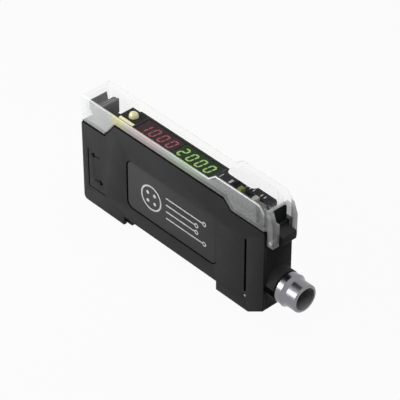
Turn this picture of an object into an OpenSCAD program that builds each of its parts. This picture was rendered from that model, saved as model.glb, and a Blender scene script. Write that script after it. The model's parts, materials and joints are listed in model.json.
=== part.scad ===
// Fibre optic sensor amplifier for a 35 mm rail, with a hinged clear dust cover.
// Lengths are in millimetres. X runs from the fibre end to the connector end, Y across, Z up.

/* [Housing] */
// Length of the housing between its two end faces
body_len = 70.5; // [68:0.5:78]
// Width of the housing over its two side faces
body_w = 10; // [9.8:0.1:12]
// Thickness of the side walls and of the side cover
wall = 1.1; // [0.9:0.05:1.2]
// Thickness of the end wall that carries the connector
end_wall = 2.2; // [2:0.1:2.6]
// Height of the side walls beside the displays
side_top = 31.8; // [31:0.2:36]
// Drop of the side walls at the fibre end
fibre_drop = 5.5; // [4.6:0.1:6]
// Length of the low shoulder at the fibre end
fibre_shoulder = 9.4; // [8.6:0.1:10.2]
// Length of the ramp from the fibre shoulder up to the display height
fibre_ramp = 4.3; // [3:0.1:5.5]
// Drop of the side walls at the hinge end
hinge_drop = 2.4; // [2:0.1:2.8]
// Length of the low shoulder at the hinge end
hinge_shoulder = 12; // [9:0.5:14]
// Length of the ramp down to the hinge shoulder
hinge_ramp = 2.9; // [2:0.1:4]
// Radius of the lower corner at the fibre end
toe_r = 1.3; // [0.5:0.1:2]
// Length of the slanted heel under the connector
heel_len = 5.4; // [3:0.1:7]
// Rise of the slanted heel under the connector
heel_rise = 3.5; // [2:0.1:4.5]

/* [Rail recess] */
// Width of the mounting rail
rail_w = 35; // [35:0.1:35]
// Thickness of the rail's flange
rail_t = 1; // [1:0.1:1]
// Room that the rail has lengthwise in the recess
rail_play = 1.4; // [1:0.1:2]
// Height of the recess above the feet
rail_depth = 2.8; // [2.6:0.1:3.4]
// Length of the foot at the fibre end
foot_len = 16.6; // [15.6:0.1:17.4]
// Reach of the fixed hook under the rail
hook_reach = 1.2; // [0.8:0.1:1.5]
// Reach of the sprung clip under the recess
clip_reach = 3; // [2.6:0.1:3.4]
// Travel of the sprung clip
clip_travel = 2; // [1.8:0.1:2.2]

/* [Dust cover] */
// Wall thickness of the clear cover
cover_t = 1; // [0.8:0.05:1]
// Height of the cover above the side walls, over the displays
cover_rise = 3.2; // [3.1:0.1:4.5]
// Extra height of the hump over the keys
hump_rise = 2.1; // [1.2:0.1:3]
// Distance of the hump's start from the fibre end
hump_start = 49.9; // [46:0.5:53]
// Length of the slope up to the hump
hump_slope = 2.5; // [1.5:0.1:4]
// Radius of the hump's rounded end
hump_r = 3.2; // [2:0.1:3.6]
// Radius of the cover's upper corner at the fibre end
nose_r = 1; // [0.8:0.1:2.4]
// Gap between the closed cover and the side walls
cover_gap = 0.15; // [0.1:0.05:0.25]
// Height of the dark seam that the housing leaves under the cover's edge
seam_h = 0.4; // [0.2:0.05:0.6]
// Depth of the thumb groove in the cover's end
thumb_depth = 0.4; // [0.2:0.05:0.45]

/* [Hinge] */
// Radius of the hinge pin
hinge_pin_r = 0.6; // [0.5:0.05:0.7]
// Distance of the hinge pin from the end face
hinge_out = 1.3; // [1.25:0.05:1.5]
// Distance of the hinge pin below the hinge shoulder
hinge_below = 3; // [2.8:0.1:3.4]
// Reach of the two ears from the end face
ear_out = 2.4; // [2.35:0.05:2.8]
// Depth of the ears below the hinge pin
ear_below = 1.4; // [1.2:0.1:1.6]
// Height of the hinge block between the ears
knuckle_h = 2.9; // [2.4:0.1:3.2]
// Reach of the hinge block from the end face
knuckle_out = 3.4; // [2.6:0.1:3.8]

/* [Fibre ports] */
// Radius of the two fibre bores
port_r = 1.15; // [1.1:0.05:1.3]
// Height of the lower port
port_z = 9; // [8.4:0.1:10]
// Distance between the two ports
port_pitch = 8; // [7:0.1:8.4]
// Length of the block that holds the fibres
block_len = 11; // [10.6:0.1:11.6]

/* [Clamp lever] */
// Radius of the lever's pin
lever_pin_r = 0.6; // [0.5:0.05:0.7]
// Radius of the cam round the lever's pin
cam_r = 1.9; // [1.7:0.05:2]
// Distance of the lever's pin from the fibre end
lever_pin_d = 4.6; // [4.5:0.05:4.8]
// Length of the lever's finger block
lever_len = 5.4; // [4.8:0.1:5.4]
// Width of the lever's finger block
lever_w = 6; // [5:0.1:6.4]
// Depth of the finger notch behind the lever's front tab
lever_notch = 2.6; // [1.5:0.1:2.8]
// Swing of the lever
lever_swing = 26; // [18:1:28]
// Thickness of the plate that grips the fibres
grip_t = 1.4; // [1.2:0.05:1.6]
// Width of the plate that grips the fibres
grip_w = 4; // [3.6:0.1:4.4]
// Radius of the pin that the plate tilts on
grip_pin_r = 0.5; // [0.4:0.05:0.6]

/* [Panel] */
// Height of the panel above the side walls
panel_proud = 0.9; // [0.6:0.05:1]
// Thickness of the printed overlay on the panel
overlay_t = 0.5; // [0.3:0.05:0.6]
// Distance of the control frame from the fibre end
frame_start = 11.2; // [11:0.1:11.6]
// Width of one four-digit display
display_w = 6; // [5:0.1:6]
// Height of a digit
digit_h = 3.7; // [3:0.1:4.2]
// Width of a digit
digit_w = 2; // [1.6:0.1:2.2]
// Width of a digit's strokes
stroke_w = 0.44; // [0.3:0.02:0.5]
// Radius of the output lamp
lamp_r = 1.35; // [1:0.05:1.5]

/* [Keys] */
// Length of the rocker key
rocker_len = 6.2; // [5.6:0.1:6.4]
// Width of the rocker key
rocker_w = 4.6; // [4:0.1:4.8]
// Rocking angle of the key to each side
rocker_tilt = 4; // [2:0.5:4]
// Radius of the rocker's pin
rocker_pin_r = 0.5; // [0.4:0.05:0.5]
// Length of a slide switch knob
knob_len = 1.4; // [1.2:0.1:1.5]
// Width of a slide switch knob
knob_w = 1.6; // [1.4:0.1:1.8]
// Travel of the three-position mode switch
mode_travel = 2.4; // [2:0.1:2.6]
// Travel of the two-position output switch
output_travel = 1.2; // [1:0.1:1.3]

/* [Connector] */
// Height of the connector's axis
plug_z = 11.2; // [10.5:0.1:12]
// Radius of the moulded boss round the connector
boss_r = 4.6; // [4.5:0.05:4.8]
// Length of the moulded boss
boss_len = 3.2; // [2.4:0.1:3.6]
// Radius of the metal collar
collar_r = 4.5; // [4.3:0.05:4.6]
// Length of the metal collar
collar_len = 3.2; // [2.4:0.1:3.6]
// Length of the taper at the collar's front
collar_taper = 1.3; // [0.5:0.1:1.6]
// Outer radius of the connector's thread
thread_r = 4; // [4:0.1:4]
// Length of the threaded tip
thread_len = 3.4; // [3:0.1:4.5]
// Radius of the socket inside the tip
socket_r = 3.2; // [2.9:0.05:3.3]
// Depth of the socket
socket_len = 6; // [4.5:0.1:6]
// Radius of a contact pin
contact_r = 0.5; // [0.4:0.05:0.5]
// Distance of the contact pins from the axis
contact_ring = 1.6; // [1.4:0.05:1.65]

/* [Side marks] */
// Length of the label panel on the side cover
label_len = 35; // [30:0.5:35.5]
// Height of the label panel
label_h = 16; // [12:0.5:16]
// Radius of the label panel's corners
label_r = 2.3; // [1:0.1:3]
// Height of the label panel's lower edge
label_z = 7.5; // [6.5:0.1:8.5]
// Depth of the recess that holds the label panel
label_depth = 0.55; // [0.4:0.05:0.7]
// Width of the engraved lines
groove_w = 0.4; // [0.3:0.05:0.5]
// Depth of the engraved lines
groove_depth = 0.3; // [0.2:0.05:0.4]

/* [Clearances] */
// Gap between fixed pieces that nest in each other
fit = 0.1; // [0.05:0.01:0.12]
// Radial running gap of a moving bore on its pin
running = 0.05; // [0.03:0.01:0.08]
// Gap between sliding pieces and their guides
slide_gap = 0.15; // [0.1:0.01:0.2]

/* [Hidden] */
$fn = 48;
eps = 0.02;
half_w = body_w / 2;
inner_y = half_w - wall;
nest_y = inner_y - fit;
seal_t = 0.4;
overall_len = body_len + boss_len + seal_t + collar_len + thread_len;

// Levels of the housing and its cover
fibre_top = side_top - fibre_drop;
hinge_top = side_top - hinge_drop;
floor_z = rail_depth + 1.1;
cover_z = side_top + cover_rise;
hump_z = cover_z + hump_rise;
panel_z = side_top + panel_proud;
frame_top = panel_z - overlay_t;
plate_t = 0.8;
frame_h = 4;
frame_low = frame_top - frame_h;
board_t = 0.8;
board_low = frame_low - board_t;
ledge_h = 0.8;
ledge_w = 0.7;
seam_in = 0.4;

// Stations along the housing, from the fibre end
mid_start = fibre_shoulder + fibre_ramp;
mid_end = body_len - hinge_shoulder - hinge_ramp;
foot2 = foot_len + rail_w + rail_play;
end_inner = body_len - end_wall;
frame_back = 4.5;
frame_end = body_len - frame_back;
frame_wall = 0.7;
shelf_start = frame_end + fit;

// Hinge
hinge_d = body_len + hinge_out;
hinge_z = hinge_top - hinge_below;
ear_near = -half_w + 0.7;
ear_near_in = ear_near + 2.3;
ear_near_slim = ear_near + 1.5;
ear_far = half_w - 0.7;
ear_far_in = ear_far - 1.05;
ear_side_gap = 0.2;
ear_back = 0.25;
relief = 0.85;
ear_root = 4.05;
lip_len = 1.5;
lip_z = hump_z - 2.6;
thumb_r = 3;
thumb_up = 4.3;
ear_step = 2.6;
ear_top = hump_z - 0.6;
ear_head = 0.6;

// Fibre clamp
block_drop = 3.9;
block_top = fibre_top - block_drop;
lever_pin_z = block_top + cam_r + 2 * fit;
lever_head_gap = 0.9;
lever_top = cover_z - cover_t - lever_head_gap;
lever_start = cover_t + 0.2;
lever_h = 4.5;
lever_low = lever_top - lever_h;
lever_edge = 0.6;
lug_w = 0.95;
lug_y = nest_y - lug_w;
lug_r = lever_pin_r + 0.8;
hub_w = 2 * (lug_y - slide_gap);
tab_t = 0.8;
notch_w = 2.3;
notch_floor = 0.4;
crown_drop = 0.6;
ridge_w = 0.3;
ridge_pitch = 0.9;

// Gripping plate: it tilts on a pin between the ports, with its round end in the lever's hub
grip_gap = 0.2;
grip_arm = cam_r - 0.3;
grip_z = port_z + port_pitch / 2;
grip_end_z = lever_pin_z - grip_arm;
grip_end_r = 0.45;
grip_low = floor_z + 0.9;
grip_neck_z = block_top - 1;
grip_hub_r = grip_pin_r + 0.5;
grip_tilt = asin(grip_arm * sin(lever_swing) / (grip_end_z - grip_z));
grip_room = grip_t / 2 + (block_top - grip_z) * sin(grip_tilt) + slide_gap;

// Diodes and seals of the two ports
led_r = port_r + 0.35;
led_seat = 1.5;
led_len = 3;
seal_ring_t = 0.8;
seal_ring_r = port_r + 0.75;

// Marks on the side cover
label_d = foot_len + 1.5;
label_gap = 0.25;
label_t = 0.25;
mark_d = 2.2;
mark_z = 5.4;
mark_len = 3.4;
mark_head = 1.4;
slot_in = 7;
slot_z = 6.2;
slot_line = 0.7;
slot_below = 2.7;

// Rail clip
clip_gap = 0.12;
clip_nose_h = rail_depth - rail_t - 0.3;
clip_low = 0.1;
clip_ramp = 1.2;
shank_low = 1;
shank_high = rail_depth;
shank_w = 5;
shank_start = 8;
clip_back = foot_len - 1.6;
pocket_start = 4.4;
spring_r = 0.65;
spring_wire = 0.14;
spring_turns = 6;

// Stations of the keys, back from the hinge end of the frame
knob_play = 0.4;
rocker_gap = 0.3;
mode_slot = knob_len + mode_travel + knob_play;
output_slot = knob_len + output_travel + knob_play;
slot_w = knob_w + 0.3;
key_gap = 1.2;
knob_gap = 1;
key_tail = 1.6;
output_d = frame_end - key_tail - output_slot;
mode_d = output_d - knob_gap - mode_slot;
rocker_d = mode_d - key_gap - rocker_gap - rocker_len / 2;
key_zone_start = rocker_d - rocker_len / 2 - key_gap;

// Displays, lamps and keys
lamp_zone = 7.6;
display_start = frame_start + lamp_zone;
display_gap = 0.3;
display_len = (key_zone_start - display_start - display_gap) / 2;
digit_pitch = display_len * 0.234;
window_len = 2 * display_len + display_gap + 2 * slide_gap;
window_w = display_w + 2 * slide_gap;
overlay_start = display_start - 0.9;
digit_slant = tan(8);
digit_proud = 0.08;
display_top = panel_z - 0.2;
bar_len = 5.7;
bar_w = 0.9;
bar_in = 0.9;
lamp_in = 3.2;
lamp_d = frame_start + lamp_in;
lamp_y = 1.2;
bar_d = frame_start + bar_in;
bar_y = -1.65;
key_top = panel_z + 0.65;
key_edge = 0.3;
knob_top = key_top - 0.1;
rocker_pin_z = frame_top - 1.3;
rocker_hub_r = rocker_pin_r + 0.6;
rocker_skirt = 0.8;
contact_off = rocker_len / 2 - 0.9;
contact_gap = 0.3;
contact_top = frame_top - rocker_skirt - contact_off * tan(rocker_tilt) - contact_gap;
contact_len = 1.7;
contact_w = 3;
contact_cap_r = 0.55;
contact_cap = 0.5;
knob_base_t = 0.6;
knob_base_out = 0.6;
switch_w = 4.6;

// Connector
boss_end = body_len + boss_len;
collar_start = boss_end + seal_t;
thread_start = collar_start + collar_len;
neck_r = 3;
nut_r = 3.7;
nut_t = 1.5;
nut_slot_t = 0.6;
nut_slot_w = 0.8;
shank_r = 2.4;
socket_floor = overall_len - socket_len;
rim = 0.3;
contact_recess = 2.4;

// Moves stations counted from the fibre end into the frame of the part.
module place() {
    translate([-overall_len / 2, 0, 0]) children();
}

// Extrudes an outline drawn in X and Z between two values of Y.
module slab(y0, y1) {
    translate([0, y1, 0]) rotate([90, 0, 0]) linear_extrude(y1 - y0) children();
}

// A box between two corners.
module block(x0, x1, y0, y1, z0, z1) {
    translate([x0, y0, z0]) cube([x1 - x0, y1 - y0, z1 - z0]);
}

// A cylinder along X from x0 to x1.
module rod_x(x0, x1, y, z, r) {
    translate([x0, y, z]) rotate([0, 90, 0]) cylinder(r = r, h = x1 - x0);
}

// A cylinder along Y from y0 to y1.
module rod_y(x, z, y0, y1, r) {
    translate([x, y1, z]) rotate([90, 0, 0]) cylinder(r = r, h = y1 - y0);
}

// A flat rectangle with round corners.
module round_rect(x0, z0, x1, z1, r) {
    translate([x0 + r, z0]) square([x1 - x0 - 2 * r, z1 - z0]);
    translate([x0, z0 + r]) square([x1 - x0, z1 - z0 - 2 * r]);
    for (x = [x0 + r, x1 - r], z = [z0 + r, z1 - r])
        translate([x, z]) circle(r);
}

// What is taken off to round a square corner at the origin; sx and sz point into the solid.
module corner_cut(x, z, sx, sz, r) {
    translate([x, z]) difference() {
        translate([min(sx * r, -sx * eps), min(sz * r, -sz * eps)]) square(r + eps);
        translate([sx * r, sz * r]) circle(r);
    }
}

// Outline of the housing seen from the side.
module case_outline() {
    difference() {
        polygon([[0, 0], [foot_len, 0], [foot_len, rail_depth], [foot2, rail_depth], [foot2, 0],
            [body_len - heel_len, 0], [body_len, heel_rise], [body_len, hinge_top],
            [body_len - hinge_shoulder, hinge_top], [mid_end, side_top], [mid_start, side_top],
            [fibre_shoulder, fibre_top], [0, fibre_top]]);
        corner_cut(0, 0, 1, 1, toe_r);
    }
}

// What the seam under the cover's edge takes off the top of a side wall.
module seam_outline() {
    polygon([[-eps, fibre_top - seam_h], [fibre_shoulder, fibre_top - seam_h],
        [mid_start, side_top - seam_h], [mid_end, side_top - seam_h],
        [body_len - hinge_shoulder, hinge_top - seam_h], [body_len + eps, hinge_top - seam_h],
        [body_len + eps, hump_z], [-eps, hump_z]]);
}

// Ledge along a side wall that carries the display board.
module board_ledge(y0, y1) {
    block(mid_start, frame_end - 1, y0, y1, board_low - ledge_h, board_low);
}

module main_case() {
    color("#3a3b3d") place() difference() {
        union() {
            difference() {
                slab(-inner_y, half_w) case_outline();
                block(wall, end_inner, -inner_y - eps, inner_y, floor_z, hump_z);
            }
            board_ledge(inner_y - ledge_w, inner_y + eps);
            block(shelf_start, end_inner + eps, -inner_y, inner_y + eps, frame_low, hinge_top);
            rod_x(body_len, boss_end, 0, plug_z, boss_r);
            rod_x(body_len - eps, boss_end, 0, plug_z, inner_y - fit);
            slab(ear_near_in + ear_side_gap, ear_far_in - ear_side_gap)
                round_rect(body_len - end_wall / 2, hinge_z - knuckle_h * 0.4, body_len + knuckle_out,
                    hinge_z + knuckle_h * 0.6, 0.6);
            block(foot2 - hook_reach, foot2 + eps, -half_w / 2, half_w / 2, 0.6, clip_nose_h);
        }
        block(-eps, wall + eps, -inner_y - eps, inner_y, floor_z, block_top + fit);
        rod_x(end_inner - eps, boss_end + eps, 0, plug_z, neck_r + fit / 2);
        rod_y(hinge_d, hinge_z, -half_w, half_w, hinge_pin_r);
        block(body_len - relief, body_len + eps, -half_w, ear_near_in + ear_side_gap,
            hinge_z - ear_below - 0.7, hinge_top + eps);
        block(body_len - relief, body_len + eps, ear_far_in - ear_side_gap, ear_far + ear_side_gap,
            hinge_z - ear_below - 0.7, hinge_top + eps);
        block(pocket_start, foot_len + eps, -shank_w / 2 - clip_gap, shank_w / 2 + clip_gap,
            shank_low - clip_gap, shank_high + clip_gap);
        block(clip_back - clip_travel - 0.3, foot_len + eps, -inner_y - eps, inner_y, -eps,
            clip_nose_h + clip_gap);
        slab(half_w - seam_in, half_w + eps) seam_outline();
    }
}

module arrow(x0, x1, z, head) {
    polygon([[x0, z - groove_w / 2], [x1 - head * sign(x1 - x0), z - groove_w / 2],
        [x1 - head * sign(x1 - x0), z - head * 0.7], [x1, z], [x1 - head * sign(x1 - x0), z + head * 0.7],
        [x1 - head * sign(x1 - x0), z + groove_w / 2], [x0, z + groove_w / 2]]);
}

module side_cover() {
    slot_d = body_len - slot_in;
    color("#414244") place() difference() {
        union() {
            slab(-half_w, -inner_y) case_outline();
            board_ledge(-inner_y - eps, -inner_y + ledge_w);
        }
        slab(-half_w - eps, -half_w + seam_in) seam_outline();
        slab(-half_w - eps, -half_w + label_depth)
            round_rect(label_d, label_z, label_d + label_len, label_z + label_h, label_r);
        slab(-half_w - eps, -half_w + groove_depth) union() {
            translate([mark_d, mark_z]) square([groove_w, port_z + port_pitch + mark_head - mark_z]);
            translate([mark_d, mark_z]) square([2 * mark_len, groove_w]);
            arrow(mark_d + mark_len + mark_head, mark_d + mark_head, port_z + port_pitch, mark_head);
            arrow(mark_d + 2 * mark_head, mark_d + mark_len + 2 * mark_head, port_z, mark_head);
        }
        slab(-half_w - eps, -half_w + 2 * groove_depth) union() {
            translate([slot_d, slot_z]) square([slot_line, fibre_top - slot_z - slot_below]);
            translate([slot_d + slot_line / 2, slot_z - 2 * slot_line]) circle(slot_line * 0.7);
        }
        block(body_len - relief, body_len + eps, ear_near - ear_side_gap, -inner_y + eps,
            hinge_z - ear_below - 0.7, hinge_top + eps);
    }
}

module side_label() {
    color("#4c4d50") place() slab(-half_w + label_depth - label_t, -half_w + label_depth)
        round_rect(label_d + label_gap, label_z + label_gap, label_d + label_len - label_gap,
            label_z + label_h - label_gap, label_r - label_gap);
}

// Outer outline of the dust cover seen from the side.
module cover_outline() {
    g = cover_gap;
    end_d = body_len - 0.1;
    difference() {
        polygon([[0, fibre_top + g], [0, cover_z], [hump_start, cover_z],
            [hump_start + hump_slope, hump_z], [end_d, hump_z], [end_d, hinge_top + g],
            [body_len - hinge_shoulder + g / 2, hinge_top + g], [mid_end + g / 2, side_top + g],
            [mid_start - g / 2, side_top + g], [fibre_shoulder - g / 2, fibre_top + g]]);
        corner_cut(0, cover_z, 1, -1, nose_r);
        corner_cut(end_d, hump_z, -1, -1, hump_r);
    }
}

// Hollow of the dust cover, open below and at the hinge end.
module cover_hollow() {
    t = cover_t;
    past_end = body_len + knuckle_out;
    polygon([[t, 0], [t, cover_z - t], [hump_start + t / 2, cover_z - t],
        [hump_start + hump_slope + t / 2, hump_z - t], [body_len - lip_len, hump_z - t],
        [body_len - lip_len, lip_z], [past_end, lip_z], [past_end, 0]]);
}

// Outline of a hinge ear.
module ear_outline() {
    polygon([[body_len - ear_root, hinge_top + cover_gap], [body_len + ear_back, hinge_top + cover_gap],
        [body_len + ear_back, hinge_z - ear_below + 0.2], [body_len + ear_back + 0.2, hinge_z - ear_below],
        [body_len + ear_out, hinge_z - ear_below], [body_len + ear_out, hinge_top + ear_step],
        [body_len + ear_head, ear_top], [body_len - ear_root, ear_top]]);
}

// The part of a hinge ear below the step in its thickness.
module ear_lower() {
    intersection() {
        ear_outline();
        translate([body_len + ear_back, 0]) square([ear_out, hinge_top + ear_step]);
    }
}

module dust_cover() {
    color([0.85, 0.87, 0.88, 0.45]) place() difference() {
        union() {
            difference() {
                slab(-half_w, half_w) cover_outline();
                slab(-half_w + cover_t, half_w - cover_t) cover_hollow();
            }
            slab(ear_near, ear_near_slim) ear_outline();
            slab(ear_near, ear_near_in) ear_lower();
            slab(ear_far_in, ear_far) ear_outline();
        }
        rod_y(thumb_depth - thumb_r, fibre_top + thumb_up, -half_w - eps, half_w + eps, thumb_r);
        rod_y(hinge_d, hinge_z, -half_w, half_w, hinge_pin_r + running);
    }
}

module hinge_pin() {
    color("#b9bcc0") place() rod_y(hinge_d, hinge_z, ear_near + fit, ear_far - fit, hinge_pin_r);
}

// Openings in the panel for the rocker and the two slide switches.
module key_openings(z0, z1) {
    block(rocker_d - rocker_len / 2 - rocker_gap, rocker_d + rocker_len / 2 + rocker_gap,
        -rocker_w / 2 - rocker_gap, rocker_w / 2 + rocker_gap, z0, z1);
    for (s = [[mode_d, mode_slot], [output_d, output_slot]])
        block(s[0] - knob_play / 2, s[0] - knob_play / 2 + s[1], -slot_w / 2, slot_w / 2, z0, z1);
}

module control_frame() {
    color("#232426") place() difference() {
        block(frame_start, frame_end, -nest_y, nest_y, frame_low, frame_top);
        block(frame_start + frame_wall, frame_end - frame_wall, -nest_y + frame_wall, nest_y - frame_wall,
            frame_low - eps, frame_top - plate_t);
        block(display_start - slide_gap, display_start - slide_gap + window_len, -window_w / 2,
            window_w / 2, frame_low, frame_top + eps);
        translate([lamp_d, lamp_y, frame_low]) cylinder(r = lamp_r + fit / 2, h = panel_z - frame_low);
        block(bar_d - fit / 2, bar_d + bar_len + fit / 2, bar_y - bar_w / 2 - fit / 2,
            bar_y + bar_w / 2 + fit / 2, frame_low, frame_top + eps);
        key_openings(frame_low, frame_top + eps);
        rod_y(rocker_d, rocker_pin_z, -half_w, half_w, rocker_pin_r);
    }
}

module panel_overlay() {
    color("#1b1c1e") place() difference() {
        block(overlay_start, frame_end - fit, -nest_y + fit, nest_y - fit, frame_top, panel_z);
        block(display_start - slide_gap, display_start - slide_gap + window_len, -window_w / 2,
            window_w / 2, frame_top - eps, panel_z + eps);
        key_openings(frame_top - eps, panel_z + eps);
    }
}

module display_board() {
    color("#1f5a3a") place() block(frame_start + fit, frame_end - fit, -nest_y + fit, nest_y - fit,
        board_low, frame_low);
}

// One straight stroke of a digit, with pointed ends, between two points.
module stroke(p, q) {
    w = stroke_w / 2;
    n = norm(q - p);
    u = (q - p) / n;
    v = [-u[1], u[0]];
    a = p + u * 0.06;
    b = q - u * 0.06;
    pts = [a, a + (u + v) * w, b + (v - u) * w, b, b - (u + v) * w, a + (u - v) * w];
    polygon([for (t = pts) [t[0] + digit_slant * t[1], t[1]]]);
}

// Lit strokes of one digit: top, upper right, lower right, bottom, lower left, upper left, middle.
module digit(lit) {
    x = (digit_w - stroke_w) / 2;
    y = (digit_h - stroke_w) / 2;
    ends = [[[-x, y], [x, y]], [[x, y], [x, 0]], [[x, 0], [x, -y]], [[-x, -y], [x, -y]],
        [[-x, 0], [-x, -y]], [[-x, y], [-x, 0]], [[-x, 0], [x, 0]]];
    for (i = lit)
        stroke(ends[i][0], ends[i][1]);
}

module digits(start, numbers) {
    first = start + display_len / 2 - 1.5 * digit_pitch;
    for (i = [0:3])
        translate([first + i * digit_pitch, 0, display_top]) linear_extrude(digit_proud) digit(numbers[i]);
}

zero = [0, 1, 2, 3, 4, 5];
one = [1, 2];
two = [0, 1, 6, 4, 3];
green_start = display_start + display_len + display_gap;

module red_display() {
    color("#2a0f10") place() block(display_start, display_start + display_len, -display_w / 2,
        display_w / 2, frame_low, display_top);
}

module red_segments() {
    color("#c8242c") place() digits(display_start, [one, zero, zero, zero]);
}

module green_display() {
    color("#10241a") place() block(green_start, green_start + display_len, -display_w / 2,
        display_w / 2, frame_low, display_top);
}

module green_segments() {
    color("#6fe39a") place() digits(green_start, [two, zero, zero, zero]);
}

module output_lamp() {
    color("#ffd45a") place() translate([lamp_d, lamp_y, 0]) {
        translate([0, 0, frame_low]) cylinder(r = lamp_r, h = frame_top + 0.1 - frame_low);
        intersection() {
            translate([0, 0, frame_top + 0.1]) sphere(lamp_r);
            translate([0, 0, frame_top]) cylinder(r = lamp_r + eps, h = 2 * lamp_r);
        }
    }
}

module light_bar() {
    color("#ffeeb0") place() block(bar_d, bar_d + bar_len, bar_y - bar_w / 2, bar_y + bar_w / 2,
        frame_low, frame_top + 0.25);
}

module rocker_key() {
    h = rocker_len / 2;
    low = frame_top - rocker_skirt;
    e = key_edge;
    dip = rocker_len * 0.15;
    color("#2b2c2f") place() difference() {
        union() {
            slab(-rocker_w / 2, rocker_w / 2) translate([rocker_d, 0]) polygon([[-h, low], [h, low],
                [h, key_top - e / 2], [h - e, key_top], [dip, key_top - e], [-dip, key_top - e],
                [-h + e, key_top], [-h, key_top - e / 2]]);
            rod_y(rocker_d, rocker_pin_z, -rocker_w / 2, rocker_w / 2, rocker_hub_r);
        }
        rod_y(rocker_d, rocker_pin_z, -half_w, half_w, rocker_pin_r + running);
    }
}

module rocker_pin() {
    color("#b9bcc0") place() rod_y(rocker_d, rocker_pin_z, -nest_y + fit, nest_y - fit, rocker_pin_r);
}

module rocker_contacts() {
    color("#8f9296") place() for (s = [-1, 1]) translate([rocker_d + s * contact_off, 0, 0]) {
        block(-contact_len / 2, contact_len / 2, -contact_w / 2, contact_w / 2, frame_low,
            contact_top - contact_cap + eps);
        translate([0, 0, contact_top - contact_cap]) cylinder(r = contact_cap_r, h = contact_cap);
    }
}

// A slide switch's knob with the base that stays under the panel.
module knob(d) {
    base_top = frame_top - plate_t - slide_gap;
    out = knob_base_out;
    block(d, d + knob_len, -knob_w / 2, knob_w / 2, base_top - eps, knob_top);
    block(d - knob_play / 2, d + knob_len + knob_play / 2, -knob_w / 2 - out, knob_w / 2 + out,
        base_top - knob_base_t, base_top);
}

// The body of a slide switch on the display board.
module switch_body(d, slot) {
    block(d - knob_play, d + slot, -switch_w / 2, switch_w / 2, frame_low,
        frame_top - plate_t - 2 * slide_gap - knob_base_t);
}

module mode_knob() {
    color("#d7e04a") place() knob(mode_d);
}

module mode_switch() {
    color("#2b2c2f") place() switch_body(mode_d, mode_slot);
}

module output_knob() {
    color("#eceeee") place() knob(output_d);
}

module output_switch() {
    color("#2b2c2f") place() switch_body(output_d, output_slot);
}

// Notch in the lever's hub for the round end of the gripping plate.
module hub_notch() {
    w = grip_end_r + grip_gap;
    translate([lever_pin_d - w, lever_pin_z - cam_r - eps]) square([2 * w, cam_r - grip_arm + eps]);
    translate([lever_pin_d, grip_end_z]) circle(w);
}

module clamp_lever() {
    x0 = lever_start;
    x1 = lever_start + lever_len;
    e = lever_edge;
    crown = x0 + tab_t + notch_w;
    notch_z = lever_top - lever_notch;
    neck_z = lever_pin_z + cam_r * 0.6;
    color("#2c2d2f") place() difference() {
        union() {
            slab(-hub_w / 2, hub_w / 2) {
                translate([lever_pin_d, lever_pin_z]) circle(cam_r);
                polygon([[lever_pin_d - cam_r, lever_pin_z], [lever_pin_d + cam_r * 0.8, neck_z],
                    [x1, lever_low], [x1, lever_low + e], [x0 + 2 * e, lever_low + e],
                    [lever_pin_d - cam_r, neck_z]]);
            }
            slab(-lever_w / 2, lever_w / 2) polygon([[x0, lever_low + 2 * e], [x0 + 2 * e, lever_low],
                [x1, lever_low], [x1, lever_top - e / 2], [x1 - e / 2, lever_top],
                [crown, lever_top - crown_drop], [crown - notch_floor, notch_z], [x0 + tab_t, notch_z],
                [x0 + tab_t / 2, lever_top - e / 2], [x0, lever_top - e]]);
        }
        rod_y(lever_pin_d, lever_pin_z, -half_w, half_w, lever_pin_r + running);
        slab(-half_w, half_w) hub_notch();
        for (x = [x1 - ridge_pitch:-ridge_pitch:crown + ridge_w])
            block(x - ridge_w, x, -half_w, half_w, lever_top - crown_drop, lever_top + eps);
    }
}

module lever_pin() {
    color("#b9bcc0") place() rod_y(lever_pin_d, lever_pin_z, -nest_y + fit, nest_y - fit, lever_pin_r);
}

module clamp_plate() {
    color("#a9adb2") place() difference() {
        slab(-grip_w / 2, grip_w / 2) {
            translate([lever_pin_d - grip_t / 2, grip_low]) square([grip_t, grip_neck_z - grip_low]);
            translate([lever_pin_d - grip_end_r, grip_low]) square([2 * grip_end_r, grip_end_z - grip_low]);
            translate([lever_pin_d, grip_end_z]) circle(grip_end_r);
            translate([lever_pin_d, grip_z]) circle(grip_hub_r);
        }
        for (z = [port_z, port_z + port_pitch])
            rod_x(0, block_len, 0, z, port_r);
        rod_y(lever_pin_d, grip_z, -half_w, half_w, grip_pin_r + running);
    }
}

module plate_pin() {
    color("#b9bcc0") place() rod_y(lever_pin_d, grip_z, -nest_y + fit, nest_y - fit, grip_pin_r);
}

module fibre_block() {
    color("#26272a") place() difference() {
        union() {
            block(0, block_len, -nest_y, nest_y, floor_z, block_top);
            for (y = [[-nest_y, -lug_y], [lug_y, nest_y]])
                slab(y[0], y[1]) {
                    translate([lever_pin_d - lug_r, block_top - eps])
                        square([2 * lug_r, lever_pin_z - block_top + eps]);
                    translate([lever_pin_d, lever_pin_z]) circle(lug_r);
                }
        }
        for (z = [port_z, port_z + port_pitch]) {
            rod_x(-eps, block_len + eps, 0, z, port_r);
            rod_x(-eps, seal_ring_t, 0, z, seal_ring_r + fit / 2);
            rod_x(block_len - led_seat, block_len + eps, 0, z, led_r + fit / 2);
        }
        block(lever_pin_d - grip_room, lever_pin_d + grip_room, -grip_w / 2 - slide_gap,
            grip_w / 2 + slide_gap, grip_low - slide_gap, block_top + eps);
        rod_y(lever_pin_d, lever_pin_z, -half_w, half_w, lever_pin_r);
        rod_y(lever_pin_d, grip_z, -half_w, half_w, grip_pin_r);
    }
}

module port_seals() {
    color("#17181a") place() for (z = [port_z, port_z + port_pitch])
        difference() {
            rod_x(0, seal_ring_t, 0, z, seal_ring_r);
            rod_x(-eps, seal_ring_t + eps, 0, z, port_r + fit / 2);
        }
}

module emitter_diode() {
    color("#b83a32") place() rod_x(block_len - led_seat + fit / 2, block_len - led_seat + led_len, 0,
        port_z + port_pitch, led_r);
}

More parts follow.
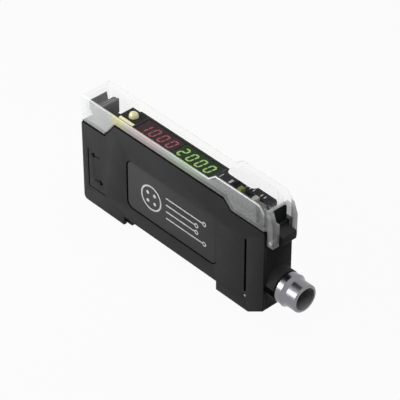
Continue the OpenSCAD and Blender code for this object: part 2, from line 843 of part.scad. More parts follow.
module receiver_diode() {
    color("#30343c") place() rod_x(block_len - led_seat + fit / 2, block_len - led_seat + led_len, 0,
        port_z, led_r);
}

board_y = 1.6;
chip_w = 7;
chip_t = 1;
header_len = 10;
header_t = 2;
header_h = 3;
board_start = block_len + led_len - led_seat + 0.2;
board_end = end_inner - nut_t - fit - 1.9;
board_top = board_low - 1;

module main_board() {
    color("#1f5a3a") place() block(board_start, board_end, board_y, board_y + board_t, floor_z, board_top);
}

module controller_chip() {
    mid = body_len / 2;
    color("#1c1d1f") place() block(mid - chip_w / 2, mid + chip_w / 2, board_y - chip_t, board_y,
        floor_z + chip_w, floor_z + 2 * chip_w);
}

module board_header() {
    end = green_start + display_len;
    color("#2a2b2e") place() block(end - header_len, end, board_y - header_t, board_y,
        board_top - header_h, board_low);
}

module rail_clip() {
    tip = foot_len + clip_reach;
    color("#1d1e20") place() {
        slab(-shank_w / 2, shank_w / 2) polygon([[shank_start, shank_low], [clip_back + 0.6, shank_low],
            [clip_back + 0.6, shank_high], [shank_start, shank_high]]);
        slab(-inner_y + slide_gap, inner_y - slide_gap) polygon([[clip_back, clip_low],
            [tip - clip_ramp, clip_low], [tip, clip_nose_h - 0.2], [tip, clip_nose_h],
            [clip_back, clip_nose_h]]);
    }
}

// Points of one ring of the spring's wire, at turn angle a and station x.
function spring_ring(a, x) = [for (k = [0:5]) let (b = 60 * k, r = spring_r + spring_wire * cos(b))
    [x + spring_wire * sin(b), r * cos(a), shank_mid + r * sin(a)]];

shank_mid = (shank_low + shank_high) / 2;
spring_from = pocket_start + spring_wire + 0.05;
spring_len = shank_start - spring_from - spring_wire - 0.05;
spring_angle = 36;
spring_steps = spring_turns * 360 / spring_angle;

module clip_spring() {
    n = spring_steps;
    pts = [for (i = [0:n]) each spring_ring(spring_angle * i, spring_from + spring_len * i / n)];
    sides = [for (i = [0:n - 1], k = [0:5]) let (a = 6 * i + k, b = 6 * i + (k + 1) % 6)
        [a, b, b + 6, a + 6]];
    color("#a9adb2") place()
        polyhedron(pts, concat(sides, [[for (k = [5:-1:0]) k]], [[for (k = [0:5]) 6 * n + k]]));
}

module connector_shell() {
    color("#c9c7c0") place() difference() {
        union() {
            rod_x(end_inner - nut_t - fit, collar_start + eps, 0, plug_z, neck_r);
            rod_x(collar_start, thread_start - collar_taper, 0, plug_z, collar_r);
            translate([thread_start - collar_taper - eps, 0, plug_z]) rotate([0, 90, 0])
                cylinder(r1 = collar_r, r2 = thread_r, h = collar_taper + eps);
            rod_x(thread_start - eps, overall_len - rim, 0, plug_z, thread_r);
            translate([overall_len - rim, 0, plug_z]) rotate([0, 90, 0])
                cylinder(r1 = thread_r, r2 = thread_r - rim, h = rim);
        }
        rod_x(0, overall_len, 0, plug_z, shank_r);
        rod_x(socket_floor, overall_len + eps, 0, plug_z, socket_r);
    }
}

module connector_insert() {
    color("#2e2f32") place() difference() {
        union() {
            rod_x(end_inner - nut_t - 0.8, socket_floor + eps, 0, plug_z, shank_r - fit / 2);
            rod_x(socket_floor, socket_floor + 1.2, 0, plug_z, socket_r - fit / 2);
        }
        for (a = [45:90:315])
            rod_x(0, overall_len, contact_ring * cos(a), plug_z + contact_ring * sin(a), contact_r);
    }
}

module contact_pins() {
    color("#d9b35a") place() for (a = [45:90:315])
        rod_x(end_inner - nut_t - 1.8, overall_len - contact_recess, contact_ring * cos(a),
            plug_z + contact_ring * sin(a), contact_r);
}

module connector_seal() {
    color("#141516") place() difference() {
        rod_x(boss_end, collar_start, 0, plug_z, collar_r - 0.1);
        rod_x(boss_end - eps, collar_start + eps, 0, plug_z, neck_r + fit / 2);
    }
}

module connector_nut() {
    color("#b5b3ac") place() difference() {
        rod_x(end_inner - nut_t, end_inner, 0, plug_z, nut_r);
        rod_x(0, body_len, 0, plug_z, neck_r + fit / 5);
        for (a = [0, 90])
            translate([end_inner - nut_t - eps, 0, plug_z]) rotate([a, 0, 0])
                block(0, nut_slot_t, -nut_slot_w / 2, nut_slot_w / 2, -2 * nut_r, 2 * nut_r);
    }
}

main_case();
side_cover();
side_label();
dust_cover();
hinge_pin();
control_frame();
panel_overlay();
display_board();
red_display();
red_segments();
green_display();
green_segments();
output_lamp();
light_bar();
rocker_key();
rocker_pin();
rocker_contacts();
mode_knob();
mode_switch();
output_knob();
output_switch();
clamp_lever();
lever_pin();
clamp_plate();
plate_pin();
fibre_block();
port_seals();
emitter_diode();
receiver_diode();
main_board();
controller_chip();
board_header();
rail_clip();
clip_spring();
connector_shell();
connector_insert();
contact_pins();
connector_seal();
connector_nut();
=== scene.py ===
"""Dresses a rail-mounted fibre optic sensor amplifier and sets a plain studio round it.

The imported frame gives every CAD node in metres. This script softens the edges of the mouldings that
show, prints the marks, gives each piece its finish, and sets the light and the camera.
"""
import json
import logging
import math
from abc import ABC, abstractmethod
from collections.abc import Callable, Iterator
from contextlib import contextmanager
from dataclasses import dataclass, field, replace
from enum import Enum
from functools import cache

import bmesh
import bpy
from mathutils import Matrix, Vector


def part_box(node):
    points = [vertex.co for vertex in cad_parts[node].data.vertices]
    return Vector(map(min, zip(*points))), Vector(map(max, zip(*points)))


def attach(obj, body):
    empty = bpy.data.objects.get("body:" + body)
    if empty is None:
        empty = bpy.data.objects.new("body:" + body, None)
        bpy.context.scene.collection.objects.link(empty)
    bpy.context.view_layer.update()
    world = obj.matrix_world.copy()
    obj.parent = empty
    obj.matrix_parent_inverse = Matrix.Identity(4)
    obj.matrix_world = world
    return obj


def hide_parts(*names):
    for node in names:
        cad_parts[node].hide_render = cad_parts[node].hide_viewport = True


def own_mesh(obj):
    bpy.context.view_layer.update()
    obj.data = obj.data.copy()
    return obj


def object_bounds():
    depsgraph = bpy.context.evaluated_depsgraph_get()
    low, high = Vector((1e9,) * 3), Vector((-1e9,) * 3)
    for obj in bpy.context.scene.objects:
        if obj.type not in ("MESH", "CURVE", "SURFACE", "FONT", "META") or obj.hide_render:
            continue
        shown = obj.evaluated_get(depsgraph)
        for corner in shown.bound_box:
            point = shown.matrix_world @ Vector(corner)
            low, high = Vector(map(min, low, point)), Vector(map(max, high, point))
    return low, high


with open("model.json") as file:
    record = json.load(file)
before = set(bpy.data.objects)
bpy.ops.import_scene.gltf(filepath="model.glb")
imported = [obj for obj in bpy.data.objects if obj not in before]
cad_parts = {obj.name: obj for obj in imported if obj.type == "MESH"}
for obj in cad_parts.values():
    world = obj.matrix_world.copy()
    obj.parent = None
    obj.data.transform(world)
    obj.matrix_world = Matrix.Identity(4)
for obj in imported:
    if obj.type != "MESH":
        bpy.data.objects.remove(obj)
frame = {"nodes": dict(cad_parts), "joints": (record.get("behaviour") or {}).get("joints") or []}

CAD_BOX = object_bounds()
MM = 0.001
SMOOTH_ANGLE = math.radians(35)
SHARP_ANGLE = math.radians(40)
FLAT_ANGLE = math.radians(0.5)
MERGE_DISTANCE = 0.001 * MM
PARALLEL = 0.99
FACING = 0.9
STEEP = 0.5
SECOND_FINISH = 1
WIDE_STEPS = 4
CORNER_STEPS = 6
RIM_STEPS = 2
DISC_SIDES = 40
LOG = logging.getLogger("amplifier")
Color = tuple[float, float, float]
Piece = bpy.types.Object


class Axis(Enum):
    """The frame's axes, by their place in a vector."""

    X = 0
    Y = 1
    Z = 2


class Body(Enum):
    """The CAD bodies that new pieces ride on."""

    HOUSING = "housing"
    COVER = "cover"
    LEVER = "lever"
    ROCKER = "rocker"
    MODE = "mode_slider"
    OUTPUT = "output_slider"
    CLIP = "clip"


class NodeSketch:
    """One material's node tree, put together a node at a time."""

    def __init__(self, name: str) -> None:
        """Starts a material that has a Principled shader.

        Args:
            name: Name of the material.
        """
        self.material = bpy.data.materials.new(name)
        self.material.use_nodes = True
        self.nodes = self.material.node_tree.nodes
        self.links = self.material.node_tree.links
        self.shader = self.nodes["Principled BSDF"]
        self.coords = self.nodes.new("ShaderNodeTexCoord")

    def fix(self, values: dict[str, object]) -> None:
        """Sets values that are the same all over on the shader's own sockets."""
        for socket, value in values.items():
            self.shader.inputs[socket].default_value = value

    def feed(self, socket: str, source: bpy.types.NodeSocket) -> None:
        """Links a pattern to one of the shader's sockets."""
        self.links.new(source, self.shader.inputs[socket])

    def noise(self, scale: float, detail: float = 2.0, stretch: Color = (1, 1, 1)) -> bpy.types.NodeSocket:
        """Adds noise on the piece's own coordinates.

        Args:
            scale: Cells for each metre.
            detail: Octaves of finer noise.
            stretch: Factor of the scale along X, Y and Z.

        Returns:
            The noise value, about 0.5 on average.
        """
        mapping = self.nodes.new("ShaderNodeMapping")
        mapping.inputs["Scale"].default_value = stretch
        self.links.new(self.coords.outputs["Object"], mapping.inputs["Vector"])
        texture = self.nodes.new("ShaderNodeTexNoise")
        texture.inputs["Scale"].default_value = scale
        texture.inputs["Detail"].default_value = detail
        self.links.new(mapping.outputs["Vector"], texture.inputs["Vector"])
        return texture.outputs["Fac"]

    def spread(self, value: bpy.types.NodeSocket, low: float, high: float,
               start: float = 0.3, stop: float = 0.7) -> bpy.types.NodeSocket:
        """Maps a value from start..stop to low..high, and holds it at both ends."""
        ramp = self.nodes.new("ShaderNodeMapRange")
        for socket, number in zip(("From Min", "From Max", "To Min", "To Max"), (start, stop, low, high)):
            ramp.inputs[socket].default_value = number
        self.links.new(value, ramp.inputs["Value"])
        return ramp.outputs["Result"]

    def math(self, kind: str, a: bpy.types.NodeSocket, b: object = None) -> bpy.types.NodeSocket:
        """Adds a Math node on one value and a second value or number.

        Args:
            kind: The operation, such as MULTIPLY.
            a: The first value.
            b: A socket or a number, if the operation takes two.

        Returns:
            The result.
        """
        node = self.nodes.new("ShaderNodeMath")
        node.operation = kind
        self.links.new(a, node.inputs[0])
        if isinstance(b, bpy.types.NodeSocket):
            self.links.new(b, node.inputs[1])
        elif b is not None:
            node.inputs[1].default_value = b
        return node.outputs[0]

    def mix(self, factor: bpy.types.NodeSocket, a: Color | bpy.types.NodeSocket,
            b: Color | bpy.types.NodeSocket) -> bpy.types.NodeSocket:
        """Mixes two colours, plain ones or patterns, by a value."""
        node = self.nodes.new("ShaderNodeMix")
        node.data_type = "RGBA"
        for socket, value in zip((s for s in node.inputs if s.type == "RGBA"), (a, b)):
            if isinstance(value, bpy.types.NodeSocket):
                self.links.new(value, socket)
            else:
                socket.default_value = (*value, 1)
        self.links.new(factor, node.inputs["Factor"])
        return next(socket for socket in node.outputs if socket.type == "RGBA")

    def relief(self, height: bpy.types.NodeSocket, depth: float, strength: float) -> None:
        """Raises the surface by a pattern.

        Args:
            height: The pattern.
            depth: Height of the relief, in metres.
            strength: Share of it that shows.
        """
        bump = self.nodes.new("ShaderNodeBump")
        bump.inputs["Distance"].default_value = depth
        bump.inputs["Strength"].default_value = strength
        self.links.new(height, bump.inputs["Height"])
        self.feed("Normal", bump.outputs["Normal"])

    def part(self, source: str, axis: Axis) -> bpy.types.NodeSocket:
        """Gives one part of the piece's own coordinates.

        Args:
            source: Object for the place in metres, Normal for the way that the surface faces.
            axis: The axis wanted.

        Returns:
            The coordinate along that axis.
        """
        split = self.nodes.new("ShaderNodeSeparateXYZ")
        self.links.new(self.coords.outputs[source], split.inputs[0])
        return split.outputs[axis.value]

    def band(self, axis: Axis, middle: float, reach: float, core: float = 0.25) -> bpy.types.NodeSocket:
        """Gives 1 at a place along an axis, falling to 0 at a distance from it.

        Args:
            axis: The axis.
            middle: The place, in metres.
            reach: The distance at which it is 0.
            core: Share of the reach within which it is 1.

        Returns:
            The value.
        """
        offset = self.math("ABSOLUTE", self.math("SUBTRACT", self.part("Object", axis), middle))
        return self.spread(offset, 1.0, 0.0, core * reach, reach)

    def cloudy(self, color: Color, tones: tuple[float, float], cells: float,
               detail: float = 2.0) -> bpy.types.NodeSocket:
        """Gives a colour that is darker and lighter in places.

        Args:
            color: The colour.
            tones: Factors of its darkest and its lightest places.
            cells: Cells of the pattern for each metre.
            detail: Octaves of finer pattern.

        Returns:
            The cloudy colour.
        """
        cloud = self.spread(self.noise(cells, detail), 0.0, 1.0)
        return self.mix(cloud, shade(color, tones[0]), shade(color, tones[1]))


def shade(color: Color, factor: float) -> Color:
    """Makes a colour lighter or darker by a factor, up to white."""
    return tuple(min(1.0, part * factor) for part in color)


class Finish(ABC):
    """A finish that can be laid on a piece."""

    name: str

    @abstractmethod
    def make(self) -> bpy.types.Material:
        """Builds the finish's material."""


@dataclass(frozen=True)
class Moulded(Finish):
    """Injection-moulded plastic with a fine spark-eroded grain."""

    name: str
    color: Color
    tone: float = 0.08
    rough: tuple[float, float] = (0.42, 0.56)
    gloss: float = 0.03
    grain: float = 5200.0
    grain_depth: float = 0.012 * MM
    grain_share: float = 0.6
    clouds: float = 140.0
    patches: float = 900.0

    def make(self) -> bpy.types.Material:
        """Builds the material: cloudy tone, uneven gloss and a pitted grain."""
        sketch = NodeSketch(self.name)
        tones = 1 - self.tone, 1 + self.tone
        sketch.feed("Base Color", sketch.cloudy(self.color, tones, self.clouds, 3.0))
        sketch.feed("Roughness", sketch.spread(sketch.noise(self.patches), *self.rough))
        sketch.relief(sketch.noise(self.grain, 3.0), self.grain_depth, self.grain_share)
        sketch.fix({"Specular IOR Level": self.gloss})
        return sketch.material


@dataclass(frozen=True)
class Turned(Finish):
    """Turned and plated metal with fine rings round the X axis."""

    name: str
    color: Color
    rough: tuple[float, float] = (0.2, 0.3)
    rings: float = 5200.0
    ring_depth: float = 0.0012 * MM
    ring_share: float = 0.5
    ring_stretch: Color = (1.0, 0.012, 0.012)
    tones: tuple[float, float] = (0.95, 1.05)
    clouds: float = 420.0

    def make(self) -> bpy.types.Material:
        """Builds the material: ring-shaped tool marks and slightly cloudy plating."""
        sketch = NodeSketch(self.name)
        sketch.feed("Base Color", sketch.cloudy(self.color, self.tones, self.clouds, 3.0))
        marks = sketch.noise(self.rings, 1.0, self.ring_stretch)
        sketch.feed("Roughness", sketch.spread(marks, *self.rough))
        sketch.relief(marks, self.ring_depth, self.ring_share)
        sketch.fix({"Metallic": 1.0})
        return sketch.material


@dataclass(frozen=True)
class Lit(Finish):
    """A lens or segment that is lit from behind."""

    name: str
    color: Color
    glow: Color
    strength: float
    rough: float = 0.3
    tones: tuple[float, float] = (0.85, 1.15)
    clouds: float = 1500.0

    def make(self) -> bpy.types.Material:
        """Builds the material: a coloured epoxy face with its own even light."""
        sketch = NodeSketch(self.name)
        sketch.feed("Base Color", sketch.cloudy(self.color, self.tones, self.clouds))
        sketch.fix({"Roughness": self.rough, "Emission Color": (*self.glow, 1),
                    "Emission Strength": self.strength})
        return sketch.material


@dataclass(frozen=True)
class Spill:
    """Coloured light of a lamp or a display, painted into the frosted wall's colour beside it."""

    color: Color
    middle: float
    reach: float


@dataclass(frozen=True)
class ClearShell(Finish):
    """Clear plastic: polished over the panel, finely frosted on its side walls, with painted light and
    shade on parts of them.
    """

    name: str
    color: Color
    top_alpha: float
    end_alpha: float
    side_alpha: float
    hump_alpha: float
    far_alpha: float
    ear_alpha: float
    spills: tuple[Spill, ...] = ()
    hump_span: tuple[float, float] = (2.0 * MM, 13.0 * MM)
    spill_low: float = 31.4 * MM
    ear_start: float = 30.1 * MM
    lip_start: float = 28.8 * MM
    lip_half: float = 4.1 * MM
    lip_top: float = 35.2 * MM
    ear_grey_and_painted_shade: Color = (0.38, 0.385, 0.385)
    lip_painted_highlight: Color = (0.6, 0.61, 0.61)
    rim_top: float = 32.4 * MM
    rim_h: float = 0.3 * MM
    rise: tuple[float, float] = (-31.02 * MM, -26.73 * MM)
    fall: tuple[float, float] = (15.33 * MM, 18.23 * MM)
    rim_levels: tuple[float, float, float] = (26.45 * MM, 31.95 * MM, 29.55 * MM)
    rim_veil: float = 0.12
    frost: float = 0.06
    frost_cells: float = 2600.0
    side_facing: tuple[float, float] = (0.45, 0.8)
    end_facing: tuple[float, float] = (0.4, 0.9)
    down_facing: tuple[float, float] = (-0.6, -0.2)
    near_fade: float = 2.0 * MM
    edge_fade: float = 0.2 * MM
    lip_fade: float = 0.3 * MM
    lip_light: tuple[float, float] = (1.6 * MM, 0.6 * MM)
    rough: tuple[float, float] = (0.08, 0.5)
    gloss: float = 0.3
    tones: tuple[float, float] = (0.95, 1.03)
    clouds: float = 300.0

    def make(self) -> bpy.types.Material:
        """Builds the material: how much it veils and scatters depends on which way a wall faces; the near
        side's denser veil, the spills and the ears' grey carry painted light and shade.
        """
        sketch = NodeSketch(self.name)
        facing_y = sketch.math("ABSOLUTE", sketch.part("Normal", Axis.Y))
        facing_x = sketch.math("ABSOLUTE", sketch.part("Normal", Axis.X))
        sideways = sketch.spread(facing_y, 0.0, 1.0, *self.side_facing)
        endways = sketch.spread(facing_x, 0.0, 1.0, *self.end_facing)
        along = sketch.part("Object", Axis.X)
        ears = self.hinge_end(sketch)
        near = sketch.spread(along, self.side_alpha, self.hump_alpha, *self.hump_span)
        # Painted light: the near side wall gets a denser pale veil than the far one, which keeps only a
        # thin frost veil.
        place_y = sketch.part("Object", Axis.Y)
        is_near = sketch.spread(place_y, 1.0, 0.0, -self.near_fade, self.near_fade)
        across = sketch.math("MAXIMUM", sketch.math("MULTIPLY", is_near, near), self.far_alpha)
        speckle = sketch.spread(sketch.noise(self.frost_cells, 3.0), 1 - self.frost, 1 + self.frost)
        side = sketch.math("MULTIPLY", sideways, sketch.math("MULTIPLY", across, speckle))
        end = sketch.math("MAXIMUM", sketch.math("MULTIPLY", endways, self.end_alpha),
                          sketch.math("MULTIPLY", ears, self.ear_alpha))
        veil = sketch.math("MAXIMUM", sketch.math("MAXIMUM", side, end), self.top_alpha)
        # The lower edge is kept nearly clear, so that the painted seam shade shows through it as a dark
        # line.
        above_rim = sketch.spread(self.lower_rim(sketch), 1.0, self.rim_veil, 0.0, 1.0)
        sketch.feed("Alpha", sketch.math("MULTIPLY", veil, above_rim))
        sketch.feed("Roughness", sketch.spread(sideways, *self.rough, 0.0, 1.0))
        color = sketch.cloudy(self.color, self.tones, self.clouds)
        height = sketch.part("Object", Axis.Z)
        high = sketch.spread(height, 0.0, 1.0, self.spill_low, self.spill_low + MM)
        # Painted light: each spill tints the wall's colour near its lamp or display.
        for spill in self.spills:
            share = sketch.math("MULTIPLY", high, sketch.band(Axis.X, spill.middle, spill.reach))
            color = sketch.mix(share, color, spill.color)
        # Painted shade on the ears, turning to a painted highlight towards the top of the lip.
        lip = sketch.spread(height, 0.0, 1.0, *(self.lip_top - drop for drop in self.lip_light))
        painted_shade_and_highlight = sketch.mix(lip, self.ear_grey_and_painted_shade, self.lip_painted_highlight)
        sketch.feed("Base Color", sketch.mix(ears, color, painted_shade_and_highlight))
        sketch.fix({"Specular IOR Level": self.gloss})
        return sketch.material

    def hinge_end(self, sketch: NodeSketch) -> bpy.types.NodeSocket:
        """Finds the two ears and the lip between them, which are thick and look grey, partly from their
        thickness and partly from painted shade, with a painted highlight towards the lip's top.

        Args:
            sketch: The material's node tree.

        Returns:
            1 on the ears and the lip and 0 elsewhere.
        """
        along = sketch.part("Object", Axis.X)
        out = sketch.spread(along, 0.0, 1.0, self.ear_start - self.edge_fade, self.ear_start)
        on_lip = sketch.spread(along, 0.0, 1.0, self.lip_start - self.edge_fade, self.lip_start)
        across = sketch.math("ABSOLUTE", sketch.part("Object", Axis.Y))
        between = sketch.spread(across, 1.0, 0.0, self.lip_half, self.lip_half + self.edge_fade)
        height = sketch.part("Object", Axis.Z)
        below = sketch.spread(height, 1.0, 0.0, self.lip_top, self.lip_top + self.lip_fade)
        either = sketch.math("MAXIMUM", out, sketch.math("MULTIPLY", on_lip, between))
        return sketch.math("MULTIPLY", below, either)

    def lower_rim(self, sketch: NodeSketch) -> bpy.types.NodeSocket:
        """Finds the cover's lower edge, which is kept clear so that the dark housing and the seam's
        painted shade behind it show as a dark shadow line.

        Args:
            sketch: The material's node tree.

        Returns:
            1 on the edge and 0 elsewhere.
        """
        along, height = sketch.part("Object", Axis.X), sketch.part("Object", Axis.Z)
        down = sketch.spread(sketch.part("Normal", Axis.Z), 1.0, 0.0, *self.down_facing)
        low = sketch.spread(height, 1.0, 0.0, self.rim_top - self.edge_fade, self.rim_top)
        first, middle, last = self.rim_levels
        level = sketch.math("MINIMUM", sketch.spread(along, first, middle, *self.rise),
                            sketch.spread(along, middle, last, *self.fall))
        above = sketch.math("SUBTRACT", height, level)
        line = sketch.spread(above, 1.0, 0.0, self.rim_h, 1.5 * self.rim_h)
        on_wall = sketch.spread(along, 1.0, 0.0, *self.fall)
        below = sketch.math("MULTIPLY", down, low)
        return sketch.math("MAXIMUM", below, sketch.math("MULTIPLY", line, on_wall))


CHARCOAL = Moulded("charcoal_plastic", (0.037, 0.037, 0.038))
CHARCOAL_COVER = Moulded("charcoal_side_cover", (0.039, 0.039, 0.040))
# Painted shade: a near-black finish laid in the grooves and the cover seam, where shade falls.
SEAM_PAINTED_SHADE = Moulded("seam_painted_shade", (0.006, 0.006, 0.006), 0.1, (0.6, 0.75), 0.0)
LABEL_FILM = Moulded("label_film", (0.061, 0.061, 0.062), 0.05, (0.5, 0.62), 0.04, 7000.0, 0.006 * MM)
BLACK = Moulded("black_plastic", (0.013, 0.013, 0.014))
INSERT = Moulded("insert_plastic", (0.42, 0.42, 0.425), 0.05, gloss=0.8)
LINING = Moulded("socket_lining", (0.3, 0.3, 0.305), 0.05, gloss=0.6)
LEVER_GREY = Moulded("lever_plastic", (0.21, 0.21, 0.214))
OVERLAY = Moulded("panel_film", (0.018, 0.018, 0.020), 0.06, (0.4, 0.5), 0.04, 6000.0, 0.004 * MM)
PALE_KEY = Moulded("pale_key_plastic", (0.62, 0.62, 0.60), 0.04, gloss=0.3)
YELLOW_KEY = Moulded("yellow_key_plastic", (0.42, 0.46, 0.10), 0.05, gloss=0.2)
WHITE_INK = Moulded("white_ink", (0.62, 0.62, 0.62), 0.05, (0.55, 0.7), 0.2, 9000.0, 0.004 * MM)
# Yellow finish of the small dash beside the output switch.
YELLOW_DASH_FINISH = replace(WHITE_INK, name="yellow_dash_finish", color=(0.62, 0.60, 0.16))
FIELD_INK = Moulded("marking_field_ink", (0.93, 0.93, 0.93), 0.03, (0.5, 0.65), 0.2, 9000.0, 0.004 * MM)
RUBBER = Moulded("seal_rubber", (0.012, 0.012, 0.013), 0.1, (0.65, 0.8), 0.03, 3800.0)
BOARD = Moulded("solder_resist", (0.02, 0.12, 0.06), 0.1, (0.3, 0.42), 0.4, 2400.0, 0.006 * MM)
RED_FACE = Moulded("red_display_face", (0.034, 0.018, 0.021), 0.1, (0.4, 0.5), 0.04, 3000.0, 0.003 * MM)
GREEN_FACE = replace(RED_FACE, name="green_display_face", color=(0.014, 0.027, 0.009))
DIODE_RED = Moulded("emitter_epoxy", (0.35, 0.05, 0.04), 0.08, (0.15, 0.25), 0.5, 1800.0, 0.003 * MM)
NICKEL = Turned("nickel_plating", (0.232, 0.230, 0.248))
STEEL = Turned("ground_steel", (0.42, 0.43, 0.44), (0.24, 0.36))
GOLD = Turned("gold_plating", (0.12, 0.1, 0.065), (0.3, 0.42))
RED_LIGHT = Lit("red_segment_light", (0.17, 0.03, 0.035), (0.80, 0.12, 0.14), 0.10)
GREEN_LIGHT = Lit("green_segment_light", (0.2, 0.34, 0.1), (0.48, 0.72, 0.24), 0.24)
LAMP_LIGHT = Lit("lamp_light", (0.55, 0.52, 0.30), (1.0, 0.95, 0.60), 0.17)
BAR_LIGHT = Lit("light_bar_light", (0.60, 0.58, 0.36), (1.0, 0.96, 0.60), 0.28)
# Painted light: tints on the cover's frosted wall beside the lamp and the two displays.
LAMP_SPILL = Spill((1.0, 0.97, 0.58), -25.2 * MM, 4.2 * MM)
RED_SPILL = Spill((0.88, 0.74, 0.74), -15.0 * MM, 9.0 * MM)
GREEN_SPILL = Spill((0.74, 0.86, 0.68), 0.5 * MM, 9.0 * MM)
SPILLS = (LAMP_SPILL, RED_SPILL, GREEN_SPILL)
CLEAR = ClearShell("clear_cover", (0.76, 0.77, 0.77), top_alpha=0.008, end_alpha=0.06, side_alpha=0.42,
                   hump_alpha=0.29, far_alpha=0.06, ear_alpha=0.62, spills=SPILLS)
# Painted highlight: a whiter, more opaque clear finish on the rounded upper edges of the cover's sides.
CLEAR_PAINTED_HIGHLIGHT = ClearShell("clear_cover_painted_highlight", (0.95, 0.96, 0.96), top_alpha=0.3, end_alpha=0.3,
                        side_alpha=0.55, hump_alpha=0.95, far_alpha=0.2, ear_alpha=0.7, spills=SPILLS)


@cache
def material_of(finish: Finish) -> bpy.types.Material:
    """Gives a finish's material, built once."""
    return finish.make()


def paint(piece: Piece, *finishes: Finish) -> Piece:
    """Lays finishes on a piece's material slots in order.

    Args:
        piece: A new piece or a CAD node.
        finishes: One finish for each material index.

    Returns:
        The same piece.
    """
    slots = piece.data.materials
    while len(slots) < len(finishes):
        slots.append(None)
    for index, finish in enumerate(finishes):
        slots[index] = material_of(finish)
    return piece


def paint_nodes(finishes: dict[str, Finish]) -> None:
    """Lays a finish on each CAD node that stands as it is."""
    for node, finish in finishes.items():
        paint(frame["nodes"][node], finish)


def deselect_all() -> None:
    """Leaves nothing selected."""
    for piece in bpy.context.selected_objects:
        piece.select_set(False)


def activate(piece: Piece) -> None:
    """Makes a piece the only selected one, and the active one."""
    deselect_all()
    piece.select_set(True)
    bpy.context.view_layer.objects.active = piece


@contextmanager
def editing(piece: Piece) -> Iterator[None]:
    """Opens a piece in edit mode with nothing of it selected."""
    activate(piece)
    bpy.ops.object.mode_set(mode="EDIT")
    bpy.ops.mesh.select_all(action="DESELECT")
    yield
    bpy.ops.object.mode_set(mode="OBJECT")


def pick_faces(piece: Piece, wanted: Callable[[bmesh.types.BMFace], bool]) -> None:
    """Selects the faces that a rule wants, in edit mode."""
    bpy.ops.mesh.select_mode(type="FACE")
    mesh = bmesh.from_edit_mesh(piece.data)
    for face in mesh.faces:
        face.select_set(wanted(face))
    mesh.select_flush_mode()
    bmesh.update_edit_mesh(piece.data)


def pick_edges(piece: Piece, wanted: Callable[[bmesh.types.BMEdge], bool]) -> None:
    """Selects the edges that a rule wants, in edit mode."""
    bpy.ops.mesh.select_mode(type="EDGE")
    mesh = bmesh.from_edit_mesh(piece.data)
    for edge in mesh.edges:
        edge.select_set(wanted(edge))
    mesh.select_flush_mode()
    bmesh.update_edit_mesh(piece.data)


def runs_along(edge: bmesh.types.BMEdge, axis: Axis) -> bool:
    """Tells whether an edge is parallel to an axis."""
    along = (edge.verts[1].co - edge.verts[0].co).normalized()
    return abs(along[axis.value]) > PARALLEL


def settle(piece: Piece, name: str) -> Piece:
    """Names a piece and puts its place into its mesh.

    Args:
        piece: A piece in object mode.
        name: Its name in the table of pieces.

    Returns:
        The same piece, at the origin, unturned and unscaled.
    """
    piece.name = name
    piece.data.name = name
    activate(piece)
    bpy.ops.object.transform_apply(location=True, rotation=True, scale=True)
    bpy.ops.object.shade_smooth_by_angle(angle=SMOOTH_ANGLE)
    return piece


def mount(piece: Piece, body: Body) -> Piece:
    """Lets a piece ride on a body."""
    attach(piece, body.value)
    LOG.info("piece %s rides on %s", piece.name, body.value)
    return piece


def soft_copy(node: str, body: Body, edge: float, segments: int = 2,
              wide: Callable[[bmesh.types.BMEdge], bool] | None = None, wide_edge: float = 0.0) -> Piece:
    """Copies a CAD node, merges its triangles and rounds its sharp edges.

    Args:
        node: Name of the CAD node that the copy stands for.
        body: Body that the node belongs to.
        edge: Radius of the rounded edges, in metres.
        segments: Steps in a rounded edge.
        wide: Rule for edges with a larger radius and the second finish, if there are any.
        wide_edge: That radius.

    Returns:
        The new piece.
    """
    activate(frame["nodes"][node])
    bpy.ops.object.duplicate(linked=False)
    piece = bpy.context.view_layer.objects.active
    for key in [key for key in piece.keys() if key.startswith("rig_")]:
        del piece[key]
    bpy.ops.mesh.customdata_custom_splitnormals_clear()
    if wide:
        piece.data.materials.append(None)
    with editing(piece):
        bpy.ops.mesh.select_all(action="SELECT")
        bpy.ops.mesh.remove_doubles(threshold=MERGE_DISTANCE)
        bpy.ops.mesh.dissolve_limited(angle_limit=FLAT_ANGLE)
        if wide:
            pick_edges(piece, wide)
            bpy.ops.mesh.bevel(offset=wide_edge, segments=WIDE_STEPS, affect="EDGES",
                               material=SECOND_FINISH)
    bevel = piece.modifiers.new("rounded_edges", "BEVEL")
    bevel.width = edge
    bevel.segments = segments
    bevel.limit_method = "ANGLE"
    bevel.angle_limit = SHARP_ANGLE
    bevel.use_clamp_overlap = False
    bpy.ops.object.modifier_apply(modifier=bevel.name)
    settle(piece, f"{node}_shape")
    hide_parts(node)
    return mount(piece, body)


def travel_of(joint: str) -> float:
    """Gives how far a sliding joint goes, in metres."""
    return next(found["range_m"][1] for found in frame["joints"] if found["name"] == joint)


def accent(piece: Piece, wanted: Callable[[bmesh.types.BMFace], bool]) -> None:
    """Gives the faces that a rule wants the second of the piece's finishes.

    Args:
        piece: A painted piece.
        wanted: The rule.
    """
    with editing(piece):
        pick_faces(piece, wanted)
        piece.active_material_index = SECOND_FINISH
        bpy.ops.object.material_slot_assign()


def add_plate(name: str, low: Vector, high: Vector, thin: Axis, corner: float, rim: float) -> Piece:
    """Models a thin plate with round corners and a softened rim.

    Args:
        name: Name of the piece.
        low: Its lowest corner, in metres.
        high: Its highest corner.
        thin: The axis across its thickness.
        corner: Radius of its corners.
        rim: Radius of its rim.

    Returns:
        The plate.
    """
    deselect_all()
    bpy.ops.mesh.primitive_cube_add(size=1, location=(low + high) / 2)
    piece = bpy.context.active_object
    piece.scale = high - low
    settle(piece, name)
    with editing(piece):
        if corner > 0:
            pick_edges(piece, lambda edge: runs_along(edge, thin))
            bpy.ops.mesh.bevel(offset=corner, segments=CORNER_STEPS, affect="EDGES")
        pick_faces(piece, lambda face: abs(face.normal[thin.value]) > FACING)
        bpy.ops.mesh.region_to_loop()
        bpy.ops.mesh.bevel(offset=rim, segments=RIM_STEPS, affect="EDGES")
    return settle(piece, name)


